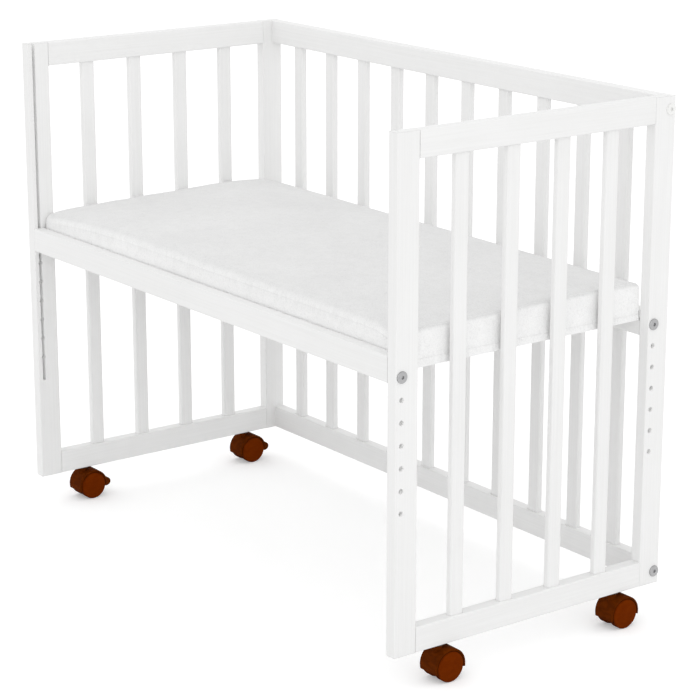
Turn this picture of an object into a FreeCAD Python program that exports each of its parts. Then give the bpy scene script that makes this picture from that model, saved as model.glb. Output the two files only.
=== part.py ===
import FreeCAD, Part
import math
import os

import Sketcher

# Bedside sleeper crib: painted wooden frame open at the front, height-adjustable
# mattress base and four twin-wheel casters.
# X runs along the length (left end at -X), Y from the open front (-Y) to the back (+Y), Z up.
# The origin is on the floor, under the middle of the crib.  Millimetres and degrees.

V = FreeCAD.Vector
doc = FreeCAD.newDocument("bedside_crib")
sheet = doc.addObject("Spreadsheet::Sheet", "dims")

driving_dimensions = [
    # frame
    ("outer_length", 940.0), ("outer_depth", 472.0), ("post_height", 695.0),
    ("post_thickness", 18.0), ("post_width", 36.0),
    ("end_rail_height", 36.0), ("back_rail_height", 36.0), ("back_rail_thickness", 18.0),
    ("edge_rounding", 1.5),
    # slats
    ("slat_width", 22.0), ("slat_thickness", 10.0), ("slat_rounding", 2.5), ("slat_tenon", 10.0),
    ("end_slat_count", 4), ("end_slat_margin", 71.75),
    ("back_slat_count", 10), ("back_slat_margin", 67.25), ("wood_clearance", 0.1),
    # dowels in the end panels
    ("dowel_diameter", 8.0), ("dowel_length", 30.0), ("dowel_spacing", 18.0),
    # connecting bolts with barrel nuts
    ("bolt_diameter", 6.0), ("bolt_hole", 7.0), ("bolt_head_diameter", 16.0),
    ("bolt_head_thickness", 2.2), ("bolt_head_chamfer", 0.7), ("socket_width", 4.6),
    ("socket_depth", 1.8), ("bolt_tip", 3.0), ("nut_diameter", 10.0), ("nut_length", 14.0),
    ("nut_setback", 34.0), ("nut_clearance", 0.05),
    # height holes and barrier groove in the posts
    ("hole_pitch", 30.5), ("hole_count", 7), ("top_hole_height", 381.5), ("bolt_inset", 9.5),
    ("groove_width", 4.6), ("groove_depth", 8.0), ("groove_foot", 160.0),
    # mattress base
    ("base_rail_height", 36.0), ("base_rail_thickness", 18.0), ("front_bolt_rise", 10.5),
    ("base_end_clearance", 0.1), ("board_thickness", 3.5), ("board_rise", 14.0),
    ("board_groove", 3.5), ("board_clearance", 0.2), ("board_end_gap", 1.5),
    ("vent_diameter", 22.0), ("vent_rows", 3), ("vent_columns", 8), ("vent_end_margin", 102.0),
    ("vent_side_margin", 109.0),
    ("bearer_count", 3), ("bearer_margin", 152.0), ("bearer_width", 40.0),
    ("bearer_thickness", 14.0), ("bearer_tenon", 8.0),
    # mattress
    ("mattress_thickness", 56.0), ("mattress_gap", 1.0), ("mattress_lift", 0.3),
    ("mattress_corner", 12.0), ("mattress_edge", 11.5),
    # casters
    ("caster_height", 52.0), ("caster_inset", 79.0), ("caster_trail", 10.0),
    ("wheel_diameter", 43.0), ("wheel_width", 12.0), ("wheel_gap", 0.5), ("wheel_wall", 2.8),
    ("wheel_rim", 3.0), ("wheel_dome", 0.9), ("tread_bevel", 1.4), ("hub_diameter", 13.0),
    ("axle_diameter", 6.0), ("running_clearance", 0.05), ("axle_end_gap", 0.4),
    ("stem_axle_gap", 3.0), ("web_width", 14.0), ("hood_width", 35.0), ("hood_gap", 1.0),
    ("hood_thickness", 3.0), ("hood_rear_angle", -11.0), ("hood_front_angle", 196.0),
    ("web_boss", 15.0), ("web_rear_angle", 24.0), ("web_front_angle", 188.0),
    ("hood_rounding", 1.2), ("stem_diameter", 8.0), ("stem_reach", 24.0), ("stem_end_gap", 1.0),
    ("swivel_gap", 0.2), ("socket_diameter", 10.5), ("socket_length", 25.9),
    ("flange_diameter", 16.0), ("flange_thickness", 1.5),
    # brake pedal of the two left-hand casters
    ("pivot_angle", 36.0), ("pivot_radius", 24.0), ("pivot_pin", 2.0), ("pedal_barrel", 3.8),
    ("pedal_gap", 0.3), ("pedal_shoe_gap", 0.6), ("pedal_skin", 2.4), ("pedal_cheek", 2.5),
    ("pedal_foot_angle", -12.0), ("plate_reach", 33.4), ("plate_drop", 5.5), ("plate_nose", 6.5),
    ("plate_rounding", 1.0), ("window_clearance", 10.0),
]

for row, (alias, number) in enumerate(driving_dimensions, start=1):
    sheet.set("A%d" % row, alias)
    sheet.set("B%d" % row, str(number))
    sheet.setAlias("B%d" % row, alias)
doc.recompute()


def dim(expression):
    # The number that an expression of the sheet's values has now.
    return float(sheet.evalExpression(expression))


# Places that several pieces share, written with the sheet's values.
half_length = "dims.outer_length / 2"
half_depth = "dims.outer_depth / 2"
post_inner_x = "(%s - dims.post_thickness)" % half_length
foot_z = "dims.caster_height"
head_z = "(dims.caster_height + dims.post_height)"
end_rail_length = "(dims.outer_depth - 2 * dims.post_width)"
inner_length = "(dims.outer_length - 2 * dims.post_thickness)"
end_slat_pitch = ("((%s - 2 * dims.end_slat_margin) / (dims.end_slat_count - 1))"
                  % end_rail_length)
back_slat_pitch = ("((%s - 2 * dims.back_slat_margin) / (dims.back_slat_count - 1))"
                   % inner_length)
bearer_pitch = "((%s - 2 * dims.bearer_margin) / (dims.bearer_count - 1))" % inner_length
end_slat_length = "(dims.post_height - 2 * dims.end_rail_height + 2 * dims.slat_tenon)"
back_slat_length = "(dims.post_height - 2 * dims.back_rail_height + 2 * dims.slat_tenon)"
back_plane_y = "(%s - dims.back_rail_thickness / 2)" % half_depth
rear_post_y = "(%s - dims.post_width)" % half_depth
bolt_z = "(%s + dims.top_hole_height)" % foot_z
front_rail_z = "(%s - dims.front_bolt_rise)" % bolt_z
rear_rail_z = "(%s - dims.base_rail_height / 2)" % bolt_z
board_z = "(%s + dims.board_rise)" % front_rail_z
bolt_depth = "(dims.nut_setback + dims.nut_diameter / 2 + dims.bolt_tip)"
axle_z = "dims.wheel_diameter / 2"


# ---------------------------------------------------------------- sketches and features

def new_body(label):
    body = doc.addObject("PartDesign::Body", label)
    body.Label = label
    return body


def place(item, x="0", y="0", z="0", turn=None):
    if turn is not None:
        item.Placement = FreeCAD.Placement(V(0, 0, 0), turn)
    item.setExpression("Placement.Base.x", x)
    item.setExpression("Placement.Base.y", y)
    item.setExpression("Placement.Base.z", z)


def origin_feature(body, role):
    for feature in body.Origin.OriginFeatures:
        if feature.Role == role:
            return feature
    raise RuntimeError("no origin feature " + role)


def new_sketch(body, name, plane, offset="0"):
    sketch = body.newObject("Sketcher::SketchObject", name)
    sketch.AttachmentSupport = [(origin_feature(body, plane), "")]
    sketch.MapMode = "FlatFace"
    sketch.setExpression("AttachmentOffset.Base.z", offset)
    return sketch


def name_constraint(sketch, name, expression, kind, *where):
    number = sketch.addConstraint(Sketcher.Constraint(kind, *where, dim(expression)))
    sketch.renameConstraint(number, name)
    sketch.setExpression("Constraints." + name, expression)


def add_polygon(sketch, points):
    # A closed outline; every corner is held by the expressions of its two coordinates.
    first = sketch.GeometryCount
    corners = [V(dim(x), dim(y), 0) for x, y in points]
    total = len(corners)
    for number in range(total):
        sketch.addGeometry(Part.LineSegment(corners[number], corners[(number + 1) % total]), False)
    for number in range(total):
        following = first + (number + 1) % total
        sketch.addConstraint(Sketcher.Constraint("Coincident", first + number, 2, following, 1))
    for number, (x, y) in enumerate(points):
        edge = first + number
        name_constraint(sketch, "x%d" % edge, x, "DistanceX", -1, 1, edge, 1)
        name_constraint(sketch, "y%d" % edge, y, "DistanceY", -1, 1, edge, 1)


def add_rectangle(sketch, x, y, wide, tall):
    right = "%s + %s" % (x, wide)
    top = "%s + %s" % (y, tall)
    add_polygon(sketch, [(x, y), (right, y), (right, top), (x, top)])


def add_circle(sketch, x, y, diameter):
    edge = sketch.GeometryCount
    centre = V(dim(x), dim(y), 0)
    sketch.addGeometry(Part.Circle(centre, V(0, 0, 1), dim(diameter) / 2), False)
    name_constraint(sketch, "across%d" % edge, diameter, "Diameter", edge)
    name_constraint(sketch, "x%d" % edge, x, "DistanceX", -1, 1, edge, 3)
    name_constraint(sketch, "y%d" % edge, y, "DistanceY", -1, 1, edge, 3)


def add_arc(sketch, x, y, radius, start, finish):
    # start and finish are first guesses in degrees; neighbours fix the ends.
    edge = sketch.GeometryCount
    circle = Part.Circle(V(dim(x), dim(y), 0), V(0, 0, 1), dim(radius))
    arc = Part.ArcOfCircle(circle, math.radians(start), math.radians(finish))
    sketch.addGeometry(arc, False)
    name_constraint(sketch, "radius%d" % edge, radius, "Radius", edge)
    name_constraint(sketch, "x%d" % edge, x, "DistanceX", -1, 1, edge, 3)
    name_constraint(sketch, "y%d" % edge, y, "DistanceY", -1, 1, edge, 3)
    return edge


def add_sector(sketch, x, y, inner, outer, start, finish):
    # A ring sector about (x, y); its two ends point at the centre.
    turns = [dim(start), dim(finish)]
    inside = add_arc(sketch, x, y, inner, turns[0], turns[1])
    outside = add_arc(sketch, x, y, outer, turns[0], turns[1])
    centre = V(dim(x), dim(y), 0)
    for number, (angle, end) in enumerate(((start, 1), (finish, 2))):
        direction = V(math.cos(math.radians(dim(angle))), math.sin(math.radians(dim(angle))), 0)
        edge = sketch.GeometryCount
        near = centre + direction * dim(inner)
        far = centre + direction * dim(outer)
        sketch.addGeometry(Part.LineSegment(near, far), False)
        sketch.addConstraint(Sketcher.Constraint("Coincident", inside, end, edge, 1))
        sketch.addConstraint(Sketcher.Constraint("Coincident", outside, end, edge, 2))
        sketch.addConstraint(Sketcher.Constraint("PointOnObject", inside, 3, edge))
        turn = sketch.addConstraint(
            Sketcher.Constraint("Angle", edge, math.radians(dim(angle))))
        sketch.renameConstraint(turn, "turn%d" % number)
        sketch.setExpression("Constraints.turn%d" % number, "(%s) * 1 deg" % angle)


def pad(body, sketch, length, midplane=False):
    feature = body.newObject("PartDesign::Pad", sketch.Name + "_pad")
    feature.Profile = sketch
    feature.setExpression("Length", length)
    if midplane:
        feature.SideType = "Symmetric"
    sketch.Visibility = False
    doc.recompute()
    return feature


def pocket(body, sketch, length, toward_normal, midplane=False):
    # A cut that has to take something away.
    before = body.Shape.Volume
    feature = body.newObject("PartDesign::Pocket", sketch.Name + "_cut")
    feature.Profile = sketch
    feature.setExpression("Length", length)
    feature.Reversed = toward_normal
    if midplane:
        feature.SideType = "Symmetric"
    doc.recompute()
    if not body.Shape.Volume < before - 1e-3:
        raise RuntimeError(body.Label + ": " + feature.Name + " cuts nothing")
    return feature


def cut_box(body, name, x, y, z, wide, deep, tall):
    sketch = new_sketch(body, name, "XY_Plane", z)
    add_rectangle(sketch, x, y, wide, deep)
    return pocket(body, sketch, tall, True)


def cut_along_x(body, name, x, y, z, diameter, depth):
    sketch = new_sketch(body, name, "YZ_Plane", x)
    add_circle(sketch, y, z, diameter)
    return pocket(body, sketch, depth, True)


def cut_along_y(body, name, x, y, z, diameter, depth):
    # The XZ plane faces -Y, so its offset is counted the other way.
    sketch = new_sketch(body, name, "XZ_Plane", "-(%s)" % y)
    add_circle(sketch, x, z, diameter)
    return pocket(body, sketch, depth, False)


def cut_along_z(body, name, x, y, z, diameter, depth):
    sketch = new_sketch(body, name, "XY_Plane", z)
    add_circle(sketch, x, y, diameter)
    return pocket(body, sketch, depth, True)


def repeat(body, name, features, axis, count, spacing):
    before = body.Shape.Volume
    pattern = body.newObject("PartDesign::LinearPattern", name)
    pattern.Originals = features
    pattern.Direction = (origin_feature(body, axis), [""])
    pattern.Mode = "Spacing"
    pattern.setExpression("Offset", spacing)
    pattern.setExpression("Occurrences", count)
    body.Tip = pattern
    doc.recompute()
    if dim(count) > 1 and not body.Shape.Volume < before - 1e-3:
        raise RuntimeError(body.Label + ": " + name + " cuts nothing")
    return pattern


def edges_along(shape, axis):
    # Names of the straight edges that run along an axis.
    names = []
    for number, edge in enumerate(shape.Edges, start=1):
        if edge.Curve.TypeId == "Part::GeomLine" and abs(edge.Curve.Direction.dot(axis)) > 0.999:
            names.append("Edge%d" % number)
    return names


def round_edges(body, feature, names, radius):
    fillet = body.newObject("PartDesign::Fillet", feature.Name + "_round")
    fillet.Base = (feature, names)
    fillet.setExpression("Radius", radius)
    doc.recompute()
    return fillet


def new_bar(label, x_size, y_size, z_size, grain, rounding):
    # A squared bar with its low corner at its own origin and its long edges rounded.
    body = new_body(label)
    sketch = new_sketch(body, label + "_section", "XY_Plane")
    add_rectangle(sketch, "0", "0", x_size, y_size)
    bar = pad(body, sketch, z_size)
    round_edges(body, bar, edges_along(bar.Shape, grain), rounding)
    return body


# ---------------------------------------------------------------- wooden frame

ALONG_X = V(1, 0, 0)
ALONG_Y = V(0, 1, 0)
ALONG_Z = V(0, 0, 1)

dowel_hole = "(dims.dowel_diameter + 2 * dims.wood_clearance)"
dowel_hole_depth = "(dims.dowel_length / 2 + 3 * dims.wood_clearance)"
first_dowel = "((dims.end_rail_height - dims.dowel_spacing) / 2)"
upper_rail_rise = "(dims.post_height - dims.end_rail_height)"


def make_post(label, end, row):
    # end is -1 at the left and +1 at the right; row is "front" or "rear".
    body = new_bar(label, "dims.post_thickness", "dims.post_width", "dims.post_height",
                   ALONG_Z, "dims.edge_rounding")
    lowest_hole = "dims.top_hole_height - (dims.hole_count - 1) * dims.hole_pitch"
    hole = cut_along_x(body, label + "_height_hole", "0", "dims.bolt_inset", lowest_hole,
                       "dims.bolt_hole", "dims.post_thickness")
    repeat(body, label + "_height_holes", [hole], "Z_Axis", "dims.hole_count", "dims.hole_pitch")
    if row == "front":
        inner_face = "dims.post_thickness - dims.groove_depth" if end < 0 else "0"
        cut_box(body, label + "_barrier_groove", inner_face,
                "dims.bolt_inset - dims.groove_width / 2", "dims.groove_foot",
                "dims.groove_depth", "dims.groove_width", "dims.post_height - dims.groove_foot")
        joint_face = "dims.post_width - %s" % dowel_hole_depth
    else:
        joint_face = "0"
        back_bolt_y = "dims.post_width - dims.back_rail_thickness / 2"
        for name, height in (("low", "dims.back_rail_height / 2"),
                             ("high", "dims.post_height - dims.back_rail_height / 2")):
            cut_along_x(body, "%s_%s_bolt_hole" % (label, name), "0", back_bolt_y, height,
                        "dims.bolt_hole", "dims.post_thickness")
    for name, rise in (("low", "0"), ("high", upper_rail_rise)):
        hole = cut_along_y(body, "%s_%s_dowel_hole" % (label, name), "dims.post_thickness / 2",
                           joint_face, "%s + %s" % (rise, first_dowel), dowel_hole,
                           dowel_hole_depth)
        repeat(body, "%s_%s_dowel_holes" % (label, name), [hole], "Z_Axis", "2",
               "dims.dowel_spacing")
    x = "-(%s)" % half_length if end < 0 else post_inner_x
    y = "-(%s)" % half_depth if row == "front" else rear_post_y
    place(body, x, y, foot_z)
    return body


def make_mortises(body, axis, middle, spread, length_along, thickness, face_z):
    # Blind slots for the slat tenons, centred on the rail and repeated at the slat pitch.
    count, pitch = spread
    first = "(%s - (%s - 1) * %s / 2 - dims.slat_width / 2 - dims.wood_clearance)" % (
        middle, count, pitch)
    across = "((%s - dims.slat_thickness) / 2 - dims.wood_clearance)" % thickness
    slot_long = "(dims.slat_width + 2 * dims.wood_clearance)"
    slot_wide = "(dims.slat_thickness + 2 * dims.wood_clearance)"
    sketch = new_sketch(body, body.Name + "_mortise", "XY_Plane", face_z)
    if axis == "X_Axis":
        add_rectangle(sketch, first, across, slot_long, slot_wide)
    else:
        add_rectangle(sketch, across, first, slot_wide, slot_long)
    slot = pocket(body, sketch, length_along, True)
    repeat(body, body.Name + "_mortises", [slot], axis, count, pitch)


mortise_depth = "(dims.slat_tenon + dims.wood_clearance)"


def make_end_rail(label, end, level):
    body = new_bar(label, "dims.post_thickness", end_rail_length, "dims.end_rail_height",
                   ALONG_Y, "dims.edge_rounding")
    slot_floor = ("dims.end_rail_height - %s" % mortise_depth) if level == "bottom" else "0"
    make_mortises(body, "Y_Axis", "%s / 2" % end_rail_length,
                  ("dims.end_slat_count", end_slat_pitch), mortise_depth,
                  "dims.post_thickness", slot_floor)
    for name, start in (("front", "0"),
                        ("rear", "%s - %s" % (end_rail_length, dowel_hole_depth))):
        hole = cut_along_y(body, "%s_%s_dowel_hole" % (label, name), "dims.post_thickness / 2",
                           start, first_dowel, dowel_hole, dowel_hole_depth)
        repeat(body, "%s_%s_dowel_holes" % (label, name), [hole], "Z_Axis", "2",
               "dims.dowel_spacing")
    if level == "bottom":
        hole = cut_along_z(body, label + "_socket_hole", "dims.post_thickness / 2",
                           "dims.caster_inset - dims.post_width", "0",
                           "dims.socket_diameter + 2 * dims.wood_clearance",
                           "dims.socket_length + dims.wood_clearance")
        repeat(body, label + "_socket_holes", [hole], "Y_Axis", "2",
               "dims.outer_depth - 2 * dims.caster_inset")
    x = "-(%s)" % half_length if end < 0 else post_inner_x
    z = foot_z if level == "bottom" else "%s - dims.end_rail_height" % head_z
    place(body, x, "-%s / 2" % end_rail_length, z)
    return body


def make_slat(label, x, y, z, x_size, y_size, z_size):
    body = new_bar(label, x_size, y_size, z_size, ALONG_Z, "dims.slat_rounding")
    place(body, x, y, z)
    return body


def make_back_rail(label, level):
    body = new_bar(label, inner_length, "dims.back_rail_thickness", "dims.back_rail_height",
                   ALONG_X, "dims.edge_rounding")
    slot_floor = ("dims.back_rail_height - %s" % mortise_depth) if level == "bottom" else "0"
    make_mortises(body, "X_Axis", "%s / 2" % inner_length,
                  ("dims.back_slat_count", back_slat_pitch), mortise_depth,
                  "dims.back_rail_thickness", slot_floor)
    middle_y = "dims.back_rail_thickness / 2"
    middle_z = "dims.back_rail_height / 2"
    nut_floor = "(dims.back_rail_thickness - dims.nut_length) / 2"
    for name, start, nut_x in (
            ("left", "0", "dims.nut_setback"),
            ("right", "%s - %s" % (inner_length, bolt_depth),
             "%s - dims.nut_setback" % inner_length)):
        cut_along_x(body, "%s_%s_bolt_hole" % (label, name), start, middle_y, middle_z,
                    "dims.bolt_hole", bolt_depth)
        cut_along_y(body, "%s_%s_nut_hole" % (label, name), nut_x, nut_floor, middle_z,
                    "dims.nut_diameter + 2 * dims.nut_clearance",
                    "dims.back_rail_thickness - %s" % nut_floor)
    z = foot_z if level == "bottom" else "%s - dims.back_rail_height" % head_z
    place(body, "-%s / 2" % inner_length, "%s - dims.back_rail_thickness" % half_depth, z)
    return body


nodes = []

for end, end_name in ((-1, "left"), (1, "right")):
    for row in ("front", "rear"):
        nodes.append(make_post("%s_%s_post" % (row, end_name), end, row))
    for level in ("top", "bottom"):
        nodes.append(make_end_rail("%s_%s_rail" % (end_name, level), end, level))
    slat_x = "%d * (%s - dims.post_thickness / 2) - dims.slat_thickness / 2" % (end, half_length)
    slat_z = "%s + dims.end_rail_height - dims.slat_tenon" % foot_z
    for number in range(int(dim("dims.end_slat_count"))):
        slat_y = "(%d - (dims.end_slat_count - 1) / 2) * %s - dims.slat_width / 2" % (
            number, end_slat_pitch)
        nodes.append(make_slat("%s_slat_%d" % (end_name, number + 1), slat_x, slat_y, slat_z,
                               "dims.slat_thickness", "dims.slat_width", end_slat_length))

for level in ("top", "bottom"):
    nodes.append(make_back_rail("back_%s_rail" % level, level))
for number in range(int(dim("dims.back_slat_count"))):
    slat_x = "(%d - (dims.back_slat_count - 1) / 2) * %s - dims.slat_width / 2" % (
        number, back_slat_pitch)
    nodes.append(make_slat("back_slat_%d" % (number + 1), slat_x,
                           "%s - dims.slat_thickness / 2" % back_plane_y,
                           "%s + dims.back_rail_height - dims.slat_tenon" % foot_z,
                           "dims.slat_width", "dims.slat_thickness", back_slat_length))


# ---------------------------------------------------------------- fasteners

def make_cylinder(name, diameter, length, z="0"):
    item = doc.addObject("Part::Cylinder", name)
    item.setExpression("Radius", "(%s) / 2" % diameter)
    item.setExpression("Height", length)
    place(item, z=z)
    return item


def make_cut(name, base, tool):
    item = doc.addObject("Part::Cut", name)
    item.Base = base
    item.Tool = tool
    return item


def make_group(label, members):
    group = doc.addObject("Part::Compound", label)
    group.Label = label
    group.Links = members
    return group


TURN_OUT = {-1: FreeCAD.Rotation(V(0, 1, 0), -90), 1: FreeCAD.Rotation(V(0, 1, 0), 90)}
TURN_TO_Y = FreeCAD.Rotation(V(1, 0, 0), -90)


def make_bolt(name, end, y, z):
    # Flat-headed connecting bolt: the bearing face of its head is at local z = 0.
    head = make_cylinder(name + "_disc", "dims.bolt_head_diameter", "dims.bolt_head_thickness")
    doc.recompute([head])
    rounded = doc.addObject("Part::Chamfer", name + "_head")
    rounded.Base = head
    rim = [number for number, edge in enumerate(head.Shape.Edges, start=1)
           if edge.Curve.TypeId == "Part::GeomCircle" and edge.CenterOfMass.z > 0.1]
    chamfer = dim("dims.bolt_head_chamfer")
    rounded.Edges = [(number, chamfer, chamfer) for number in rim]
    shank = make_cylinder(name + "_shank", "dims.bolt_diameter",
                          "dims.post_thickness + %s" % bolt_depth,
                          "-dims.post_thickness - %s" % bolt_depth)
    whole = doc.addObject("Part::Fuse", name + "_whole")
    whole.Base = rounded
    whole.Tool = shank
    socket = doc.addObject("Part::Prism", name + "_socket")
    socket.Polygon = 6
    socket.setExpression("Circumradius", "dims.socket_width / sqrt(3)")
    socket.setExpression("Height", "dims.socket_depth")
    place(socket, z="dims.bolt_head_thickness - dims.socket_depth")
    bolt = make_cut(name, whole, socket)
    place(bolt, "%d * %s" % (end, half_length), y, z, TURN_OUT[end])
    return bolt


def make_barrel_nut(name, end, y, z, axis):
    barrel = make_cylinder(name + "_barrel", "dims.nut_diameter", "dims.nut_length",
                           "-dims.nut_length / 2")
    thread = make_cylinder(name + "_thread", "dims.bolt_diameter + 2 * dims.nut_clearance",
                           "2 * dims.nut_diameter")
    thread.Placement = FreeCAD.Placement(V(0, 0, 0), FreeCAD.Rotation(V(0, 1, 0), 90))
    thread.setExpression("Placement.Base.x", "-dims.nut_diameter")
    nut = make_cut(name, barrel, thread)
    turn = TURN_TO_Y if axis == "Y" else None
    place(nut, "%d * (%s - dims.nut_setback)" % (end, post_inner_x), y, z, turn)
    return nut


ENDS = ((-1, "left"), (1, "right"))
doc.recompute()

for level, height in (("top", "%s - dims.back_rail_height / 2" % head_z),
                      ("bottom", "%s + dims.back_rail_height / 2" % foot_z)):
    nodes.append(make_group("back_%s_bolts" % level, [
        make_bolt("back_%s_bolt_%s" % (level, name), end, back_plane_y, height)
        for end, name in ENDS]))

nodes.append(make_group("back_barrel_nuts", [
    make_barrel_nut("back_%s_nut_%s" % (level, name), end, back_plane_y, height, "Y")
    for level, height in (("top", "%s - dims.back_rail_height / 2" % head_z),
                          ("bottom", "%s + dims.back_rail_height / 2" % foot_z))
    for end, name in ENDS]))


def make_dowel(name, end, y, z):
    dowel = make_cylinder(name, "dims.dowel_diameter", "dims.dowel_length")
    place(dowel, "%d * (%s - dims.post_thickness / 2)" % (end, half_length),
          "%s - dims.dowel_length / 2" % y, z, TURN_TO_Y)
    return dowel


dowels = []
for end, end_name in ENDS:
    for side, joint_y in (("front", "-%s / 2" % end_rail_length),
                          ("rear", "%s / 2" % end_rail_length)):
        for level, rise in (("low", "0"), ("high", upper_rail_rise)):
            for step in range(2):
                dowels.append(make_dowel(
                    "dowel_%s_%s_%s_%d" % (end_name, side, level, step + 1), end, joint_y,
                    "%s + %s + %s + %d * dims.dowel_spacing" % (foot_z, rise, first_dowel, step)))
nodes.append(make_group("end_panel_dowels", dowels))


# ---------------------------------------------------------------- mattress base

base_rail_length = "(%s - 2 * dims.base_end_clearance)" % inner_length


def make_base_rail(label, row):
    # The front rail's board groove and mortises open to +Y, the rear rail's to -Y.
    body = new_bar(label, base_rail_length, "dims.base_rail_thickness", "dims.base_rail_height",
                   ALONG_X, "dims.edge_rounding")
    rail_z = front_rail_z if row == "front" else rear_rail_z
    groove_y = ("dims.base_rail_thickness - dims.board_groove - dims.board_clearance"
                if row == "front" else "0")
    tenon_y = ("dims.base_rail_thickness - dims.bearer_tenon - dims.wood_clearance"
               if row == "front" else "0")
    cut_box(body, label + "_board_groove", "0", groove_y,
            "%s - %s - dims.board_clearance / 2" % (board_z, rail_z), base_rail_length,
            "dims.board_groove + dims.board_clearance",
            "dims.board_thickness + dims.board_clearance")
    slot = cut_box(body, label + "_bearer_mortise",
                   "dims.bearer_margin - dims.base_end_clearance - dims.bearer_width / 2"
                   " - dims.wood_clearance", tenon_y,
                   "%s - %s - dims.bearer_thickness - dims.wood_clearance" % (board_z, rail_z),
                   "dims.bearer_width + 2 * dims.wood_clearance",
                   "dims.bearer_tenon + dims.wood_clearance",
                   "dims.bearer_thickness + dims.wood_clearance")
    repeat(body, label + "_bearer_mortises", [slot], "X_Axis", "dims.bearer_count", bearer_pitch)
    middle_y = "dims.bolt_inset"
    bolt_rise = "%s - %s" % (bolt_z, rail_z)
    for name, start, nut_x in (
            ("left", "0", "dims.nut_setback - dims.base_end_clearance"),
            ("right", "%s - %s" % (base_rail_length, bolt_depth),
             "%s - dims.nut_setback + dims.base_end_clearance" % base_rail_length)):
        cut_along_x(body, "%s_%s_bolt_hole" % (label, name), start, middle_y, bolt_rise,
                    "dims.bolt_hole", bolt_depth)
        cut_along_z(body, "%s_%s_nut_hole" % (label, name), nut_x, middle_y, "0",
                    "dims.nut_diameter + 2 * dims.nut_clearance",
                    "%s + dims.nut_length / 2" % bolt_rise)
    y = "-(%s)" % half_depth if row == "front" else rear_post_y
    place(body, "-%s / 2" % base_rail_length, y, rail_z)
    return body


nodes.append(make_base_rail("base_front_rail", "front"))
nodes.append(make_base_rail("base_rear_rail", "rear"))

bay_front_y = "(dims.base_rail_thickness - %s)" % half_depth
bay_depth = "(%s - %s)" % (rear_post_y, bay_front_y)


def make_board():
    body = new_body("base_board")
    length = "(%s - 2 * dims.board_end_gap)" % base_rail_length
    depth = "(%s + 2 * dims.board_groove)" % bay_depth
    outline = new_sketch(body, "board_outline", "XY_Plane")
    add_rectangle(outline, "0", "0", length, depth)
    pad(body, outline, "dims.board_thickness")
    first_x = "dims.vent_end_margin - dims.base_end_clearance - dims.board_end_gap"
    first_y = "dims.vent_side_margin + dims.board_groove"
    column_pitch = "(%s - 2 * dims.vent_end_margin) / (dims.vent_columns - 1)" % inner_length
    row_pitch = "(%s - 2 * dims.vent_side_margin) / (dims.vent_rows - 1)" % bay_depth
    column = new_sketch(body, "vent_column", "XY_Plane")
    for row in range(int(dim("dims.vent_rows"))):
        add_circle(column, first_x, "%s + %d * %s" % (first_y, row, row_pitch),
                   "dims.vent_diameter")
    holes = pocket(body, column, "dims.board_thickness", True)
    repeat(body, "vent_columns", [holes], "X_Axis", "dims.vent_columns", column_pitch)
    place(body, "-%s / 2" % length, "%s - dims.board_groove" % bay_front_y, board_z)
    return body


nodes.append(make_board())

bearer_length = "(%s + 2 * dims.bearer_tenon)" % bay_depth
for number in range(int(dim("dims.bearer_count"))):
    bearer = new_bar("base_bearer_%d" % (number + 1), "dims.bearer_width", bearer_length,
                     "dims.bearer_thickness", ALONG_Y, "dims.edge_rounding / 2")
    place(bearer, "(%d - (dims.bearer_count - 1) / 2) * %s - dims.bearer_width / 2" % (
              number, bearer_pitch),
          "%s - dims.bearer_tenon" % bay_front_y, "%s - dims.bearer_thickness" % board_z)
    nodes.append(bearer)

front_bolt_y = "dims.bolt_inset - %s" % half_depth
rear_bolt_y = "%s + dims.bolt_inset" % rear_post_y
ROWS = (("front", front_bolt_y), ("rear", rear_bolt_y))
nodes.append(make_group("base_bolts", [
    make_bolt("base_bolt_%s_%s" % (row, name), end, y, bolt_z)
    for row, y in ROWS for end, name in ENDS]))
nodes.append(make_group("base_barrel_nuts", [
    make_barrel_nut("base_nut_%s_%s" % (row, name), end, y, bolt_z, "Z")
    for row, y in ROWS for end, name in ENDS]))


def make_mattress():
    body = new_body("mattress")
    length = "(%s - 2 * dims.mattress_gap)" % inner_length
    depth = "(%s - 2 * dims.mattress_gap)" % bay_depth
    outline = new_sketch(body, "mattress_outline", "XY_Plane")
    add_rectangle(outline, "0", "0", length, depth)
    block = pad(body, outline, "dims.mattress_thickness")
    corners = round_edges(body, block, edges_along(block.Shape, ALONG_Z), "dims.mattress_corner")
    top = dim("dims.mattress_thickness")
    upper = ["Edge%d" % number for number, edge in enumerate(corners.Shape.Edges, start=1)
             if abs(edge.BoundBox.ZMin - top) < 1e-6 and abs(edge.BoundBox.ZMax - top) < 1e-6]
    round_edges(body, corners, upper, "dims.mattress_edge")
    place(body, "-%s / 2" % length, "%s + dims.mattress_gap" % bay_front_y,
          "%s + dims.board_thickness + dims.mattress_lift" % board_z)
    return body


nodes.append(make_mattress())


# ---------------------------------------------------------------- casters

swivel_top = "(dims.caster_height - dims.flange_thickness - dims.swivel_gap)"
hood_inner = "(dims.wheel_diameter / 2 + dims.hood_gap)"
hood_outer = "(%s + dims.hood_thickness)" % hood_inner
stem_foot = "(%s + dims.axle_diameter / 2 + dims.stem_axle_gap)" % axle_z
axle_reach = "(dims.web_width / 2 + dims.wheel_gap + dims.wheel_width - dims.wheel_wall)"


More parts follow.
